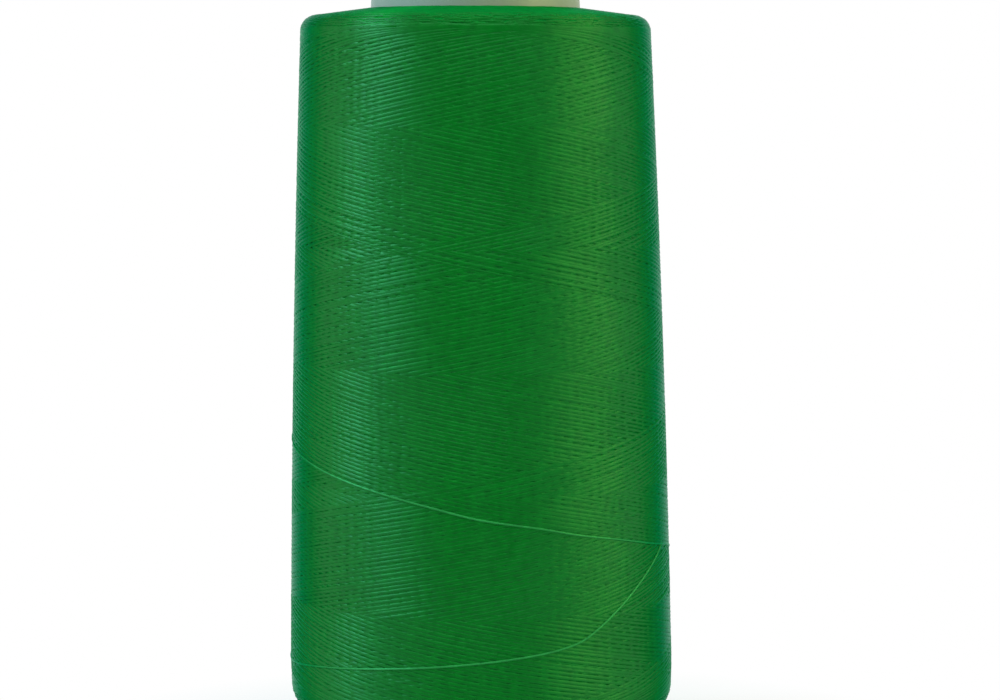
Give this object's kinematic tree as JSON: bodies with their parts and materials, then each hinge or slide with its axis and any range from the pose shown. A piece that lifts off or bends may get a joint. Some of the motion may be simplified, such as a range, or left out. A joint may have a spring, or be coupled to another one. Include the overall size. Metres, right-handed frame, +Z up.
{
  "type": "spool of thread",
  "caption": "Cone of sewing thread: a hollow tapered plastic cone wound with crossed passes of green thread, its loose end tucked under a turn.",
  "frame": {"origin": "on the cone's axis, in the plane of the foot rim that it stands on", "axes": "+Z up along the cone's axis from the foot to the nose; -Y towards the front, where the loose turn crosses"},
  "size_m": [0.0622, 0.0626, 0.13],
  "materials": {
    "cone_plastic": "smooth moulded plastic, pale grey-green",
    "thread_under": "wound polyester thread, deep green, seen between the outer turns",
    "thread_outer": "wound polyester sewing thread, deep green, soft satin sheen"
  },
  "bodies": {
    "root": {"cone_core": "cone_plastic", "wound_thread": "thread_under", "outer_turns": "thread_outer"}
  },
  "joints": []
}
